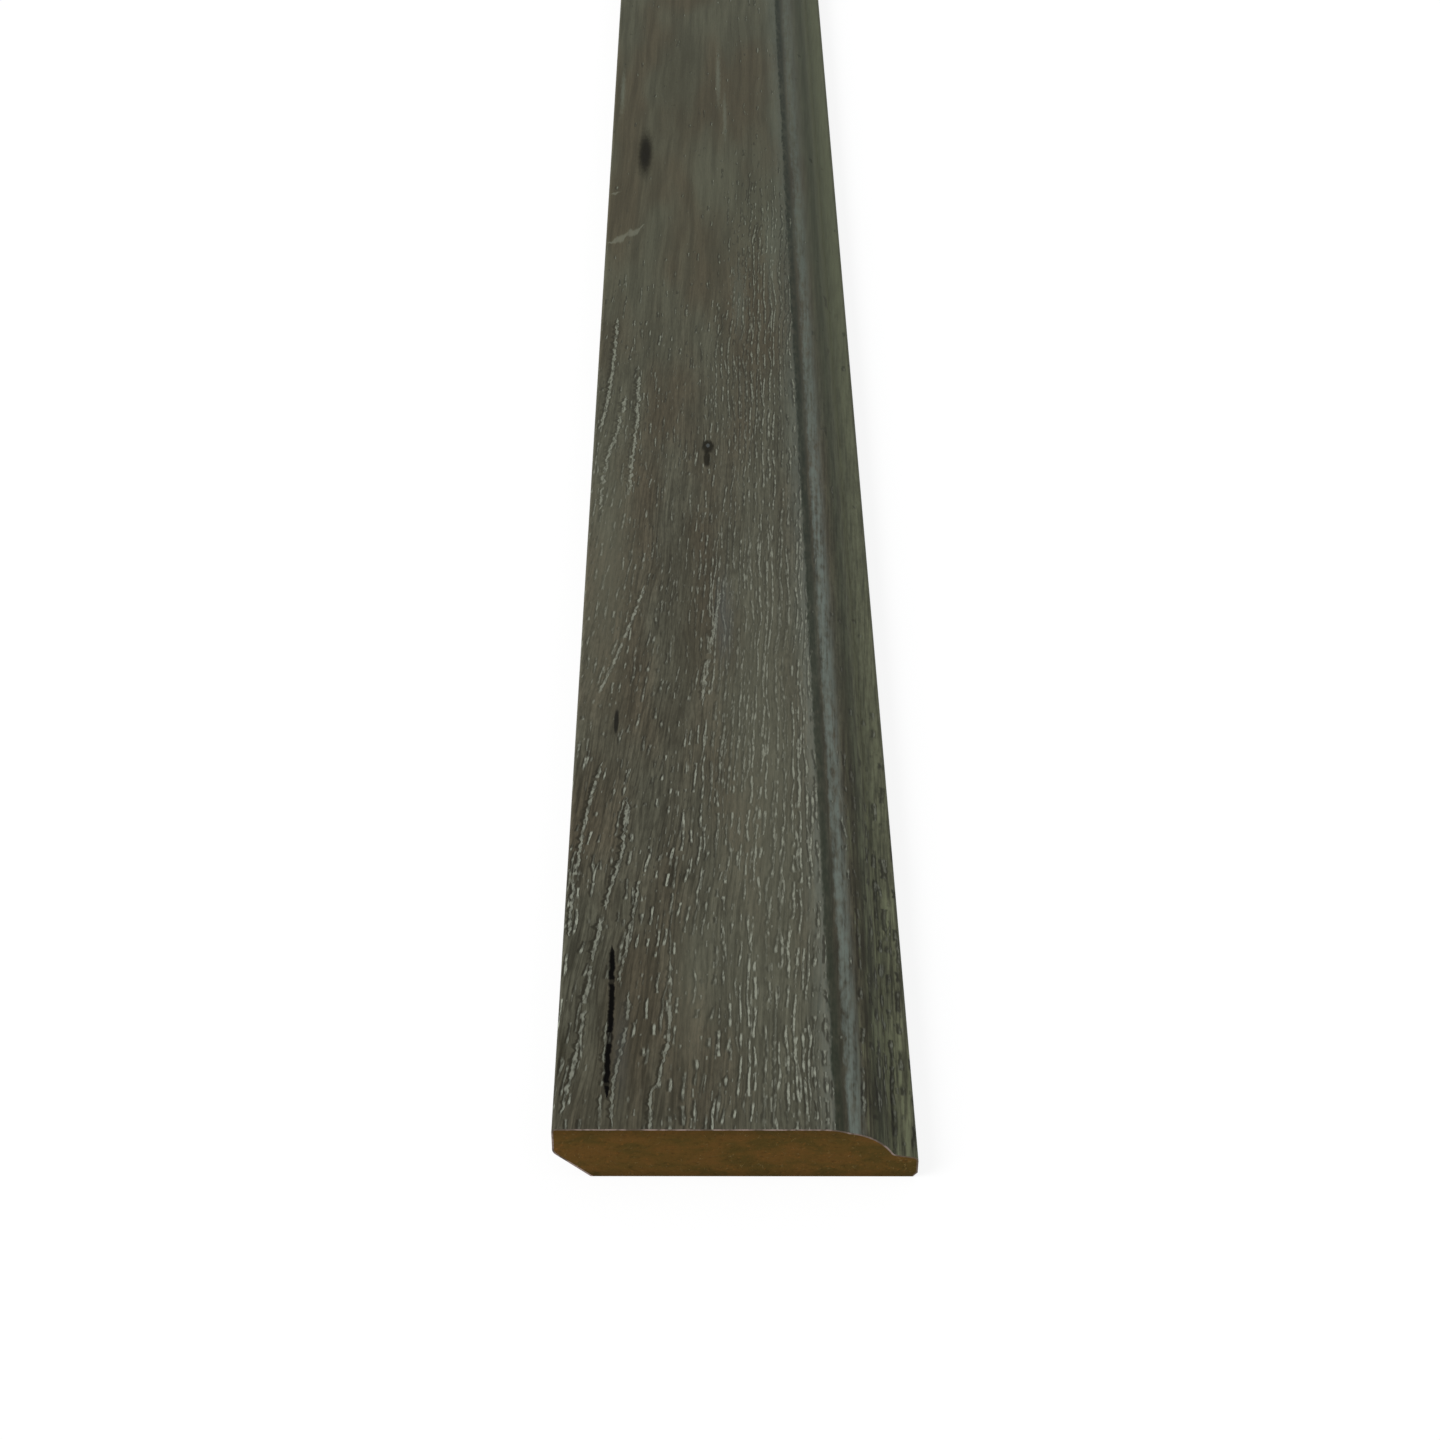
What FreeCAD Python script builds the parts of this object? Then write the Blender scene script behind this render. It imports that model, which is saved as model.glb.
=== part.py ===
"""A length of foil-wrapped skirting board, lying face up on its back.

The board is a moulded MDF core with a wood-effect foil wrapped round its face, both edges and the chamfer
behind the floor edge. Both ends are cut square, so the core shows there inside the foil. The face is flat
up to a crease. Beyond it the board is moulded: a sloping quirk, a long ovolo, a small cove and a nib.

The length runs along Y, with the floor edge on -X and the moulded top edge on +X. The origin is the middle
of the back, which lies in the plane Z = 0. Sizes are in millimetres and slopes in degrees.
"""

import FreeCAD, Part
import math
import os

import Sketcher

# Name, value and meaning of each driving dimension. All but the foil's are those of the wrapped board.
SIZES = [
    ("board_length", 2400.0, "as sold"),
    ("board_width", 80.0, "floor edge to top edge"),
    ("board_thickness", 15.0, "back to flat face"),
    ("foil_thickness", 0.4, "the same all round"),
    ("floor_arris_radius", 1.0, "between the face and the floor edge"),
    ("chamfer_width", 8.2, "chamfer behind the floor edge, along the back"),
    ("chamfer_slope", 43.0, "that chamfer to the back"),
    ("chamfer_radius", 2.2, "between the floor edge and that chamfer"),
    ("moulding_width", 18.0, "crease to top edge"),
    ("quirk_width", 2.8, "sloping band beside the crease"),
    ("quirk_slope", 22.0, "that band to the face"),
    ("ovolo_slope", 7.0, "start of the ovolo to the face"),
    ("ovolo_radius", 12.6, "long round of the moulding"),
    ("cove_radius", 1.3, "hollow between ovolo and nib"),
    ("nib_height", 6.0, "back to the nib's corner, before its round"),
    ("nib_slope", 11.0, "fall of the nib to the top edge"),
    ("nib_radius", 1.4, "round of the nib's corner"),
    ("arris_width", 1.0, "small chamfer behind the top edge, along the back"),
    ("arris_slope", 52.0, "that chamfer to the back"),
]

# The sketcher's codes for the ends of a line or arc, its horizontal axis and its origin.
START, END, CENTRE = 1, 2, 3
AXIS = -1
ORIGIN = (AXIS, START)

# The outline, from the back's +X end round the face to its -X end: each piece, and how it meets the next.
OUTLINE = [
    ("arris", "sharp"),
    ("top_edge", "smooth"),
    ("nib_round", "smooth"),
    ("nib", "smooth"),
    ("cove", "smooth"),
    ("ovolo", "sharp"),
    ("quirk", "sharp"),
    ("face", "smooth"),
    ("floor_arris", "smooth"),
    ("floor_edge", "smooth"),
    ("chamfer_round", "smooth"),
    ("chamfer", "open"),
]
# The one arc that turns the other way.
HOLLOW = "cove"


def make_sheet(doc):
    """Puts the driving dimensions in a spreadsheet, one to a row."""
    sheet = doc.addObject("Spreadsheet::Sheet", "Sizes")
    for row, (alias, value, meaning) in enumerate(SIZES, start=1):
        sheet.set(f"A{row}", alias)
        sheet.set(f"B{row}", str(value))
        sheet.setAlias(f"B{row}", alias)
        sheet.set(f"C{row}", meaning)
    doc.recompute()
    return sheet


def point(x, y):
    return FreeCAD.Vector(x, y, 0)


def direction(degrees):
    return point(math.cos(math.radians(degrees)), math.sin(math.radians(degrees)))


def line_meets_line(point_a, along_a, point_b, along_b):
    """Where the line through point_a meets the line through point_b."""
    gap = point_b - point_a
    return point_a + along_a * (gap.cross(along_b).z / along_a.cross(along_b).z)


def line_meets_circle(start, along, centre, radius):
    """Where a line from start first meets the circle, from outside it or from within."""
    gap = start - centre
    reach = gap.dot(along)
    root = math.sqrt(reach**2 - gap.dot(gap) + radius**2)
    return start + along * (-reach - root if root < -reach else root - reach)


def rounded(before, corner, after, radius):
    """Start, end and centre of the arc that rounds a corner."""
    to_before, to_after = (before - corner).normalize(), (after - corner).normalize()
    half = to_before.getAngle(to_after) / 2
    reach = radius / math.tan(half)
    centre = corner + (to_before + to_after).normalize() * (radius / math.sin(half))
    return corner + to_before * reach, corner + to_after * reach, centre


def place_outline(sizes, inset):
    """Ends and centres of the outline's pieces, moved in by inset from the finished surface.

    They put each piece in its place before the sketch's constraints take over. The outline is followed
    from +X to -X, so every direction points that way.
    """
    half = sizes.board_width / 2
    left, right, top = -half + inset, half - inset, sizes.board_thickness - inset
    up, across = direction(90), direction(180)
    arris, nib = direction(sizes.arris_slope), direction(180 - sizes.nib_slope)
    quirk, chamfer = direction(180 - sizes.quirk_slope), direction(-sizes.chamfer_slope)
    out_of_nib, out_of_quirk = direction(90 - sizes.nib_slope), direction(90 - sizes.quirk_slope)

    arris_foot = point(half - sizes.arris_width - inset / arris.y, 0)
    arris_top = line_meets_line(arris_foot, arris, point(right, 0), up)
    nib_edge = point(half, sizes.nib_height)
    nib_corner = line_meets_line(nib_edge - out_of_nib * inset, nib, point(right, 0), up)
    face_edge = point(half - sizes.moulding_width, sizes.board_thickness)
    crease = line_meets_line(face_edge - out_of_quirk * inset, quirk, point(0, top), across)
    face_corner = point(left, top)
    chamfer_foot = point(-half + sizes.chamfer_width - inset / chamfer.y, 0)
    chamfer_top = line_meets_line(chamfer_foot, chamfer, point(left, 0), up)

    quirk_edge = face_edge + quirk * (sizes.quirk_width / quirk.x)
    ovolo_centre = quirk_edge - direction(90 - sizes.ovolo_slope) * sizes.ovolo_radius
    cove_centre = line_meets_circle(
        nib_edge + out_of_nib * sizes.cove_radius, nib, ovolo_centre, sizes.ovolo_radius + sizes.cove_radius
    )
    ovolo_end = ovolo_centre + (cove_centre - ovolo_centre).normalize() * (sizes.ovolo_radius - inset)
    cove_end = cove_centre - out_of_nib * (sizes.cove_radius + inset)
    quirk_foot = line_meets_circle(crease, quirk * -1, ovolo_centre, sizes.ovolo_radius - inset)

    nib_round = rounded(arris_top, nib_corner, cove_end, sizes.nib_radius - inset)
    floor_arris = rounded(crease, face_corner, chamfer_top, sizes.floor_arris_radius - inset)
    chamfer_round = rounded(face_corner, chamfer_top, chamfer_foot, sizes.chamfer_radius - inset)
    return {
        "arris": (arris_foot, arris_top),
        "top_edge": (arris_top, nib_round[0]),
        "nib_round": nib_round,
        "nib": (nib_round[1], cove_end),
        "cove": (cove_end, ovolo_end, cove_centre),
        "ovolo": (ovolo_end, quirk_foot, ovolo_centre),
        "quirk": (quirk_foot, crease),
        "face": (crease, floor_arris[0]),
        "floor_arris": floor_arris,
        "floor_edge": (floor_arris[1], chamfer_round[0]),
        "chamfer_round": chamfer_round,
        "chamfer": (chamfer_round[1], chamfer_foot),
    }


class Section:
    """A sketch across the board that holds its finished outline and the core's outline inside it."""

    def __init__(self, body, sheet, name):
        self.sheet = sheet
        self.sketch = body.newObject("Sketcher::SketchObject", name)
        plane = next(item for item in body.Origin.OriginFeatures if item.Role == "XZ_Plane")
        self.sketch.AttachmentSupport = (plane, [""])
        self.sketch.MapMode = "FlatFace"

    def fix(self, kind, *where):
        self.sketch.addConstraint(Sketcher.Constraint(kind, *where))

    def size(self, kind, where, expression):
        """Adds a dimension and ties it to the spreadsheet."""
        value = self.sketch.evalExpression(expression)
        if kind == "Angle":
            value = math.radians(value)
        index = self.sketch.addConstraint(Sketcher.Constraint(kind, *where, value))
        self.sketch.setExpression(f"Constraints[{index}]", expression)

    def draw_outline(self, inset, helper):
        """Draws the outline's pieces end to end and returns the sketcher's numbers for them."""
        places = place_outline(self.sheet, inset)
        number = {}
        for name, _ in OUTLINE:
            start, end, *centre = places[name]
            if centre:
                low, high = (end, start) if name == HOLLOW else (start, end)
                circle = Part.Circle(centre[0], FreeCAD.Vector(0, 0, 1), (start - centre[0]).Length)
                piece = Part.ArcOfCircle(circle, circle.parameter(low), circle.parameter(high))
            else:
                piece = Part.LineSegment(start, end)
            number[name] = self.sketch.addGeometry(piece, helper)
        for (name, meeting), (following, _) in zip(OUTLINE, OUTLINE[1:]):
            kind = "Tangent" if meeting == "smooth" else "Coincident"
            last = START if name == HOLLOW else END
            first = END if following == HOLLOW else START
            self.fix(kind, number[name], last, number[following], first)
        self.fix("PointOnObject", number["arris"], START, AXIS)
        self.fix("PointOnObject", number["chamfer"], END, AXIS)
        return number

    def draw_finished(self, helper):
        """Draws the wrapped board's outline at its driving dimensions."""
        at = self.draw_outline(0.0, helper)
        self.fix("Horizontal", at["face"])
        self.fix("Vertical", at["floor_edge"])
        self.fix("Vertical", at["top_edge"])
        self.size("DistanceX", (at["floor_edge"], START, *ORIGIN), "Sizes.board_width / 2")
        self.size("DistanceX", (*ORIGIN, at["top_edge"], START), "Sizes.board_width / 2")
        self.size("DistanceY", (*ORIGIN, at["face"], START), "Sizes.board_thickness")
        self.size("Radius", (at["floor_arris"],), "Sizes.floor_arris_radius")

        self.size("DistanceX", (at["floor_edge"], END, at["chamfer"], END), "Sizes.chamfer_width")
        self.size("Angle", (at["chamfer"],), "-Sizes.chamfer_slope")
        self.size("Radius", (at["chamfer_round"],), "Sizes.chamfer_radius")

        self.size("DistanceX", (at["quirk"], END, at["top_edge"], START), "Sizes.moulding_width")
        self.size("DistanceX", (at["quirk"], END, at["quirk"], START), "Sizes.quirk_width")
        self.size("Angle", (at["quirk"],), "180 - Sizes.quirk_slope")
        self.size("Radius", (at["ovolo"],), "Sizes.ovolo_radius")
        self.size(
            "DistanceX",
            (at["ovolo"], CENTRE, at["ovolo"], END),
            "Sizes.ovolo_radius * sin(Sizes.ovolo_slope * 1 deg)",
        )
        self.size("Radius", (at["cove"],), "Sizes.cove_radius")

        self.size("Angle", (at["nib"],), "180 - Sizes.nib_slope")
        self.size("Radius", (at["nib_round"],), "Sizes.nib_radius")
        nib_edge = point(self.sheet.board_width / 2, self.sheet.nib_height)
        corner = self.sketch.addGeometry(Part.Point(nib_edge), True)
        self.fix("PointOnObject", corner, START, at["nib"])
        self.fix("PointOnObject", corner, START, at["top_edge"])
        self.size("DistanceY", (*ORIGIN, corner, START), "Sizes.nib_height")

        self.size("DistanceX", (at["arris"], START, at["top_edge"], START), "Sizes.arris_width")
        self.size("Angle", (at["arris"],), "Sizes.arris_slope")
        return at

    def draw_core(self, finished):
        """Draws the core's outline one foil thickness inside the finished one."""
        at = self.draw_outline(self.sheet.foil_thickness, False)
        for name in ("arris", "top_edge", "nib", "quirk", "face", "floor_edge", "chamfer"):
            self.fix("Parallel", at[name], finished[name])
            self.size("Distance", (at[name], START, finished[name]), "Sizes.foil_thickness")
        self.size("Radius", (at["nib_round"],), "Sizes.nib_radius - Sizes.foil_thickness")
        self.size("Radius", (at["cove"],), "Sizes.cove_radius + Sizes.foil_thickness")
        self.size("Radius", (at["ovolo"],), "Sizes.ovolo_radius - Sizes.foil_thickness")
        self.size("Radius", (at["floor_arris"],), "Sizes.floor_arris_radius - Sizes.foil_thickness")
        self.size("Radius", (at["chamfer_round"],), "Sizes.chamfer_radius - Sizes.foil_thickness")
        self.fix("Coincident", at["ovolo"], CENTRE, finished["ovolo"], CENTRE)
        return at

    def join(self, first, first_end, second, second_end):
        """Closes the outline with a straight line on the plane of the back."""
        ends = [self.sketch.getPoint(first, first_end), self.sketch.getPoint(second, second_end)]
        line = self.sketch.addGeometry(Part.LineSegment(*ends), False)
        self.fix("Coincident", line, START, first, first_end)
        self.fix("Coincident", line, END, second, second_end)


def add_length(doc, body, section):
    """Runs a section the length of the board, half each way from the middle."""
    doc.recompute()
    if not section.sketch.FullyConstrained:
        raise RuntimeError(f"{section.sketch.Label} is not fully constrained")
    pad = body.newObject("PartDesign::Pad", f"{body.Label}_length")
    pad.Profile = section.sketch
    pad.SideType = "Symmetric"
    pad.setExpression("Length", "Sizes.board_length")


def build_core(doc, sheet):
    """The MDF board: flat back, chamfered and moulded, bare at both cut ends."""
    body = doc.addObject("PartDesign::Body", "mdf_core")
    section = Section(body, sheet, "core_section")
    core = section.draw_core(section.draw_finished(helper=True))
    section.join(core["chamfer"], END, core["arris"], START)
    add_length(doc, body, section)
    return body


def build_foil(doc, sheet):
    """The foil: it ends at the back, where both its edges are trimmed flush."""
    body = doc.addObject("PartDesign::Body", "decor_foil")
    section = Section(body, sheet, "foil_section")
    finished = section.draw_finished(helper=False)
    core = section.draw_core(finished)
    section.join(finished["chamfer"], END, core["chamfer"], END)
    section.join(core["arris"], START, finished["arris"], START)
    add_length(doc, body, section)
    return body


def main():
    doc = FreeCAD.newDocument("skirting_length")
    sheet = make_sheet(doc)
    bodies = [build_core(doc, sheet), build_foil(doc, sheet)]
    for body in bodies:
        body.Placement = FreeCAD.Placement()
    doc.recompute()
    for item in doc.Objects:
        if "Invalid" in item.State or "Error" in item.State:
            raise RuntimeError(f"{item.Label} failed to build: {item.State}")
    os.makedirs("parts", exist_ok=True)
    for body in bodies:
        if body.Shape.isNull() or not body.Shape.isValid():
            raise RuntimeError(f"{body.Label} has no sound shape")
        body.Shape.exportStep(f"parts/{body.Label}.step")


main()
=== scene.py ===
"""The looks of a foil-wrapped skirting board that lies face up on a white floor.

Two pieces are made: the MDF core, bare at both cut ends and on the back, and the dark grey limed-oak foil
that is wrapped round its face, its edges and the chamfer behind the floor edge. X runs across the board
from the floor edge to the moulded top edge, Y along it and Z up from the back. Lengths are in metres, and
in the materials in millimetres.
"""

import logging
import math
from dataclasses import dataclass
from enum import Enum
from typing import Sequence, Union

import bpy
import numpy as np
from mathutils import Matrix, Vector

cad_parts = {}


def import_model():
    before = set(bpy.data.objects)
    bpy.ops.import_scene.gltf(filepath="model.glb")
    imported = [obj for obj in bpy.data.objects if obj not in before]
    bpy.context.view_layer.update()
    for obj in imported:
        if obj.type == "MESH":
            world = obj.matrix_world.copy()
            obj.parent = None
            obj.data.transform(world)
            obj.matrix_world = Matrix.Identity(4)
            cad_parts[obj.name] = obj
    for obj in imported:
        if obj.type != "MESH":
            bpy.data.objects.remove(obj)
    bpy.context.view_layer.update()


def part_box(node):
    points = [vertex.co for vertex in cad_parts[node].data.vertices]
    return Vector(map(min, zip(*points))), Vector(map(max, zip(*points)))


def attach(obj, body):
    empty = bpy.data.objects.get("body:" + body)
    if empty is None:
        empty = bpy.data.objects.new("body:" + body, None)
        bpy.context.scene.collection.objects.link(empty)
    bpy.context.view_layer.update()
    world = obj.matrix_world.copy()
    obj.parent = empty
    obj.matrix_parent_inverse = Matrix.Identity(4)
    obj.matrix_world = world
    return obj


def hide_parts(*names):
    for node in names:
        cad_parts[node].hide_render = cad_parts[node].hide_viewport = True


LOG = logging.getLogger("skirting")

MM = 0.001
# Places that are closer together than this are the same place.
TOUCH = 0.001 * MM
BODY = "root"
# The foil's attribute with the run of its outline across the board and the length along it, in mm.
WRAP = "wrap"
BAKE_MAP = "OFBake"

Node = bpy.types.Node
Socket = bpy.types.NodeSocket
Sockets = bpy.types.bpy_prop_collection
Colour = tuple[float, float, float]
Point = tuple[float, float]
Input = Union[Socket, float, Sequence[float]]


def srgb(red: int, green: int, blue: int) -> Colour:
    """Returns the linear colour of an 8-bit screen colour."""
    parts = [c / 255 for c in (red, green, blue)]
    return tuple(c / 12.92 if c <= 0.04045 else ((c + 0.055) / 1.055) ** 2.4 for c in parts)


class Blend(Enum):
    """How two colours are put together."""

    MIX = "MIX"
    MULTIPLY = "MULTIPLY"


@dataclass(frozen=True)
class Graph:
    """Adds nodes to one node tree and links them.

    Attributes:
        tree: A material's, a world's or a group's node tree.
    """

    tree: bpy.types.NodeTree

    def node(self, kind: str, *values: Input, **settings: object) -> Node:
        """Adds a node.

        Args:
            kind: Its type's name, past the ShaderNode that they all start with.
            *values: What goes into its first inputs, in order.
            **settings: Values of the node's own properties.

        Returns:
            The new node.
        """
        made = self.tree.nodes.new(f"ShaderNode{kind}")
        made.location = (180 * len(self.tree.nodes), 0)
        for name, value in settings.items():
            setattr(made, name, value)
        for value, socket in zip(values, made.inputs):
            self.put(value, socket)
        return made

    def put(self, value: Input, socket: Socket) -> None:
        """Links a socket to an input, or sets the input to a plain value.

        Args:
            value: The source socket or the value.
            socket: The input.
        """
        if isinstance(value, Socket):
            self.tree.links.new(value, socket)
        elif isinstance(value, (int, float)):
            socket.default_value = value
        else:
            socket.default_value = (*value, 1.0)[: len(socket.default_value)]

    def fill(self, node: Node, **values: Input) -> Sockets:
        """Fills a node's inputs.

        Args:
            node: The node.
            **values: Its inputs by name, with underscores for spaces.

        Returns:
            Its outputs.
        """
        for name, value in values.items():
            self.put(value, node.inputs[name.replace("_", " ")])
        return node.outputs

    def maths(self, operation: str, *values: Input, clamp: bool = False) -> Socket:
        """Works out one number from others, and keeps it between 0 and 1 if clamp is set."""
        return self.node("Math", *values, operation=operation, use_clamp=clamp).outputs[0]

    def add(self, a: Input, b: Input) -> Socket:
        """Returns a + b."""
        return self.maths("ADD", a, b)

    def less(self, a: Input, b: Input) -> Socket:
        """Returns a - b."""
        return self.maths("SUBTRACT", a, b)

    def rest(self, share: Input) -> Socket:
        """Returns 1 - share."""
        return self.less(1.0, share)

    def times(self, a: Input, b: Input, *more: Input) -> Socket:
        """Returns the product of two or more numbers."""
        product = self.maths("MULTIPLY", a, b)
        return self.times(product, *more) if more else product

    def most(self, a: Input, b: Input) -> Socket:
        """Returns the larger of a and b."""
        return self.maths("MAXIMUM", a, b)

    def swing(self, noise: Input, reach: Input) -> Socket:
        """Turns noise round 0.5 into a swing round 0, with a reach for each unit of noise."""
        return self.times(self.less(noise, 0.5), reach)

    def ridge(self, noise: Input, half: float) -> Socket:
        """Returns 1 where noise crosses 0.5, and 0 from half a width to either side on."""
        return self.step(self.maths("ABSOLUTE", self.less(noise, 0.5)), half, 0.0)

    def step(self, value: Input, low: Input, high: Input) -> Socket:
        """Rises smoothly from 0 at low to 1 at high, or falls where low is the larger."""
        return self.node("MapRange", value, low, high, interpolation_type="SMOOTHSTEP").outputs["Result"]

    def vector(self, x: Input = 0.0, y: Input = 0.0, z: Input = 0.0) -> Socket:
        """Returns the vector of three numbers."""
        return self.node("CombineXYZ", x, y, z).outputs[0]

    def split(self, vector: Input) -> list[Socket]:
        """Returns a vector's three numbers."""
        return list(self.node("SeparateXYZ", vector).outputs)

    def vectors(self, operation: str, *values: Input) -> Sockets:
        """Works on vectors and returns the node's outputs, Vector and Value."""
        return self.node("VectorMath", *values, operation=operation).outputs

    def object_mm(self) -> Socket:
        """Returns the place in the piece, in millimetres."""
        place = self.node("TexCoord").outputs["Object"]
        return self.vectors("MULTIPLY", place, [1 / MM] * 3)[0]

    def noise(self, vector: Input, detail: float = 1.0, rough: float = 0.5) -> Socket:
        """Returns soft noise from about 0.2 to 0.8, one lump to a unit of the vector."""
        made = self.node("TexNoise", vector, noise_dimensions="3D")
        return self.fill(made, Scale=1.0, Detail=detail, Roughness=rough)["Fac"]

    def lumps(
        self,
        place: Input,
        size: Sequence[float],
        part: Sequence[float] = (0, 0, 0),
        detail: float = 1.0,
        rough: float = 0.5,
    ) -> Socket:
        """Returns noise whose lumps have a length along each axis.

        Args:
            place: Where it is read.
            size: The lengths of a lump. Two of them make noise that is flat along Z.
            part: Which part of the noise is read.
            detail: How many finer layers it has.
            rough: How strong they are.

        Returns:
            The noise, from about 0.2 to 0.8.
        """
        by = [1 / length for length in size] + [0.0] * (3 - len(size))
        return self.noise(self.vectors("MULTIPLY_ADD", place, by, part)[0], detail, rough)

    def mix(self, share: Input, a: Input, b: Input, blend: Blend = Blend.MIX) -> Socket:
        """Mixes two colours.

        Args:
            share: How much of b, 0 to 1.
            a: The first colour.
            b: The second colour.
            blend: How b goes over a.

        Returns:
            The mixed colour.
        """
        made = self.node("Mix", share, data_type="RGBA", blend_type=blend.value)
        self.put(a, made.inputs[6])
        self.put(b, made.inputs[7])
        return made.outputs[2]

    def curve(self, value: Input, points: Sequence[Point]) -> Socket:
        """Follows a drawn curve.

        Args:
            value: Where on the curve, in the units of the points' second number.
            points: The curve's points, as result and value, in order of value.

        Returns:
            The result, which stays as it is past either end.
        """
        results, values = zip(*points)
        low, tall = min(results), max(results) - min(results)
        start, long = values[0], values[-1] - values[0]
        made = self.node("FloatCurve")
        drawn = made.mapping.curves[0].points
        spots = [((v - start) / long, (r - low) / tall) for r, v in points]
        drawn[0].location, drawn[1].location = spots[0], spots[-1]
        for spot in spots[1:-1]:
            drawn.new(*spot)
        made.mapping.update()
        share = self.maths("DIVIDE", self.less(value, start), long, clamp=True)
        return self.add(self.times(self.fill(made, Value=share)[0], tall), low)

    def bump(self, height: Input, distance: float, strength: float) -> Socket:
        """Returns the normal of a relief.

        Args:
            height: The relief, as a share of distance.
            distance: Its height in metres.
            strength: How much of it shows.

        Returns:
            The normal.
        """
        made = self.node("Bump")
        return self.fill(made, Strength=strength, Distance=distance, Height=height)["Normal"]


def named(vectors: Sequence[str], numbers: Sequence[str]) -> dict[str, str]:
    """Returns the type of each socket by its name, the vectors first."""
    return dict.fromkeys(vectors, "NodeSocketVector") | dict.fromkeys(numbers, "NodeSocketFloat")


def new_group(name: str, inputs: dict[str, str], outputs: dict[str, str]) -> tuple[Graph, Sockets, Node]:
    """Starts a node group.

    Args:
        name: The group's name.
        inputs: Socket types by name.
        outputs: Socket types by name.

    Returns:
        The group's graph, its inputs by name, and the node that its results go into.
    """
    tree = bpy.data.node_groups.new(name, "ShaderNodeTree")
    for names, way in ((inputs, "INPUT"), (outputs, "OUTPUT")):
        for socket, kind in names.items():
            tree.interface.new_socket(socket, in_out=way, socket_type=kind)
    start, end = tree.nodes.new("NodeGroupInput"), tree.nodes.new("NodeGroupOutput")
    return Graph(tree), start.outputs, end


def line_and_groove_shade(g: Graph, off: Input, half: Input, there: Input, reach: float) -> tuple[Socket, Socket]:
    """Draws a line and the painted shade of its groove, which lies a little to one side of it, where the
    groove's wall faces away from the lamps.

    Args:
        g: The group's graph.
        off: The gap to the line's middle.
        half: Half the line's width.
        there: The share of it that shows.
        reach: Half the groove's width, as a multiple of half the line's.

    Returns:
        The masks of the line and of the painted shade in its groove.
    """
    line = g.times(g.step(g.maths("ABSOLUTE", off), half, g.times(half, 0.4)), there)
    beside = g.maths("ABSOLUTE", g.add(off, g.times(half, 0.45)))
    return line, g.times(g.step(beside, g.times(half, reach), g.times(half, 1.1)), there)


def pore_group() -> bpy.types.NodeTree:
    """Limed pores: beaded dashes that follow wandering lanes along the grain.

    Returns:
        The group. Its vector and sizes are in millimetres across and along the board.
    """
    inputs = named(["Vector"], ("Spacing", "Width", "Length", "Density", "Seed"))
    g, into, out = new_group("limed pores", inputs, named([], ("Pore", "Groove", "Shade")))
    across, along, _ = g.split(into["Vector"])
    seed, spacing = into["Seed"], into["Spacing"]

    def lane_noise(place: Input, shift: float) -> Socket:
        """Returns noise along the lanes, which differs from lane to lane."""
        return g.noise(g.vector(g.times(whole, shift), place, seed))

    # The lanes wander together, and each one drifts to either side of its own middle.
    wander = g.noise(g.vector(g.times(across, 1 / 15), g.times(along, 1 / 60), seed))
    lane = g.add(g.maths("DIVIDE", across, spacing), g.times(wander, 1.6))
    whole = g.maths("FLOOR", lane)
    dice = g.node("TexWhiteNoise", g.vector(whole, seed), noise_dimensions="2D")
    chance = g.node("SeparateColor", dice.outputs["Color"]).outputs
    bead = lane_noise(g.times(along, 1 / 2.9), 3.7)
    drift = lane_noise(g.times(along, 1 / 12), 5.3)
    middle = g.add(g.swing(chance[0], 0.42), g.swing(drift, 0.8))
    off = g.times(g.less(g.less(g.less(lane, whole), 0.5), middle), spacing)
    # A pore swells and shrinks in beads, and stands only where its lane's noise is high enough.
    half = g.times(into["Width"], g.add(g.times(bead, 1.3), 0.05))
    spell = g.add(g.maths("DIVIDE", along, into["Length"]), g.times(chance[1], 90.0))
    least = g.less(0.72, g.times(into["Density"], 0.44))
    there = g.step(lane_noise(spell, 7.1), least, g.add(least, 0.07))
    # Each pore's groove is real relief, and the mask beside it is the groove's painted shade.
    pore, groove = line_and_groove_shade(g, off, half, there, 2.3)
    shade = g.step(g.add(bead, g.times(chance[2], 0.4)), 0.46, 0.9)
    g.fill(out, Pore=pore, Groove=groove, Shade=shade)
    return g.tree


def trail_group() -> bpy.types.NodeTree:
    """A line along a drawn course, such as a chain of limed pores, a crack or a scratch.

    Returns:
        The group. All is in millimetres, with Off the gap to the course and Along the way along it.
    """
    numbers = ("Off", "Along", "Start", "End", "Width", "Broken", "Seed")
    g, into, out = new_group("trail", named([], numbers), named([], ("Mask", "Groove")))
    off, along, start, end, width, broken, seed = (into[name] for name in numbers)

    def way_noise(length: float, part: float, detail: float = 1.0) -> Socket:
        """Returns noise along the way, in lumps of a length."""
        return g.noise(g.vector(g.times(along, 1 / length), seed, part), detail)

    # The line sways, tapers towards both ends, and is beaded and gapped as far as it is broken.
    sway, bead, gap = way_noise(2.6, 0.0, 2.0), way_noise(1.7, 4.0), way_noise(6.0, 8.0)
    whole = g.rest(broken)
    off = g.add(off, g.times(g.swing(sway, width), g.add(0.5, broken)))
    swell = g.add(g.times(whole, 1.1), g.times(broken, g.less(g.times(bead, 2.6), 0.3)))
    ends = g.times(g.step(along, start, g.add(start, 5.0)), g.step(along, end, g.less(end, 5.0)))
    half = g.times(g.times(width, 0.5), g.times(swell, g.maths("POWER", ends, 0.5)))
    there = g.most(whole, g.step(gap, 0.36, 0.44))
    there = g.times(g.maths("GREATER_THAN", ends, 0.0), there)
    line, groove = line_and_groove_shade(g, off, half, there, 2.2)
    g.fill(out, Mask=line, Groove=groove)
    return g.tree


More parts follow.
